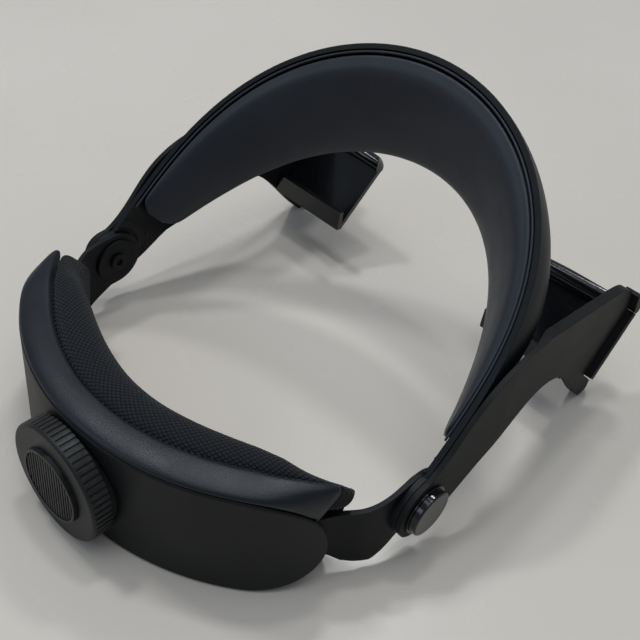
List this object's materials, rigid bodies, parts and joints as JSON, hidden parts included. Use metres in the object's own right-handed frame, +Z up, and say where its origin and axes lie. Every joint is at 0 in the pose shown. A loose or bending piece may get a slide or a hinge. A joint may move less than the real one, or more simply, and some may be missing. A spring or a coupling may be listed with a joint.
{
  "type": "head strap for goggles",
  "caption": "Halo head strap for goggles: rear housing with fit knob and cushion, sliding side straps, tilting padded halo and tilting goggle arms with trays.",
  "frame": {"origin": "middle of the strap on the surface it lies on", "axes": "+Z up, -Y the way the wearer looks, +X the wearer's left"},
  "size_m": [0.1804, 0.22, 0.12],
  "materials": {
    "shell": "fine matte moulded black",
    "inner_plastic": "plain moulded black",
    "steel": "turned",
    "leatherette": "smooth satin leatherette",
    "mesh": "woven mesh",
    "knob": "satin moulded black",
    "strap": "flexible matte black",
    "gloss": "polished black",
    "arm": "fine matte moulded black",
    "halo": "satin moulded black",
    "pad": "smooth soft leatherette"
  },
  "bodies": {
    "housing": {"rear_cover": "shell", "back_plate": "inner_plastic", "plate_screws": "steel", "pad_border": "leatherette", "rear_cushion": "mesh", "click_ring": "inner_plastic", "band_guide": "inner_plastic"},
    "knob": {"knob": "knob", "knob_insert": "knob", "knob_screw": "steel", "pinion": "inner_plastic"},
    "straps": {"strap_left": "strap", "pivot_pin_left": "steel", "inner_disc_left": "strap", "pivot_screw_left": "steel", "cap_ring_left": "gloss", "pivot_cap_left": "gloss", "strap_right": "strap", "pivot_pin_right": "steel", "inner_disc_right": "strap", "pivot_screw_right": "steel", "cap_ring_right": "gloss", "pivot_cap_right": "gloss"},
    "band_left": {"rack_band_left": "inner_plastic"},
    "band_right": {"rack_band_right": "inner_plastic"},
    "halo": {"halo_shell": "halo", "halo_pad": "pad"},
    "arm_left": {"arm_left": "arm", "arm_edge_strip_left": "gloss", "arm_tab_left": "gloss", "tray_left": "gloss"},
    "arm_right": {"arm_right": "arm", "arm_edge_strip_right": "gloss", "arm_tab_right": "gloss", "tray_right": "gloss"}
  },
  "joints": [
    {"name": "strap_slide", "type": "slide", "parent": "housing", "child": "straps", "axis": [0, -1, 0], "range_m": [-0.004, 0.006]},
    {"name": "knob_turn", "type": "hinge", "parent": "housing", "child": "knob", "pos_m": [0, 0.02336, 0.0223], "axis": [0, 1, 0], "range_deg": [-38.2, 57.3]},
    {"name": "band_left_run", "type": "hinge", "parent": "housing", "child": "band_left", "pos_m": [0, 0.00536, 0.0223], "axis": [0, 0, -1], "range_deg": [-2.61, 3.91]},
    {"name": "band_right_run", "type": "hinge", "parent": "housing", "child": "band_right", "pos_m": [0, 0.00536, 0.0223], "axis": [0, 0, 1], "range_deg": [-2.61, 3.91]},
    {"name": "halo_tilt", "type": "hinge", "parent": "straps", "child": "halo", "pos_m": [0, 0.02336, 0.0223], "axis": [1, 0, 0], "range_deg": [-18, 6]},
    {"name": "arm_left_tilt", "type": "hinge", "parent": "straps", "child": "arm_left", "pos_m": [0, 0.02336, 0.0223], "axis": [1, 0, 0], "range_deg": [-7, 25]},
    {"name": "arm_right_tilt", "type": "hinge", "parent": "straps", "child": "arm_right", "pos_m": [0, 0.02336, 0.0223], "axis": [1, 0, 0], "range_deg": [-7, 25]}
  ],
  "couplings": [
    {"joint": "knob_turn", "follows": "strap_slide", "rad_per_m": 166.67},
    {"joint": "band_left_run", "follows": "strap_slide", "rad_per_m": 11.364},
    {"joint": "band_right_run", "follows": "strap_slide", "rad_per_m": 11.364},
    {"joint": "arm_right_tilt", "follows": "arm_left_tilt", "ratio": 1}
  ]
}
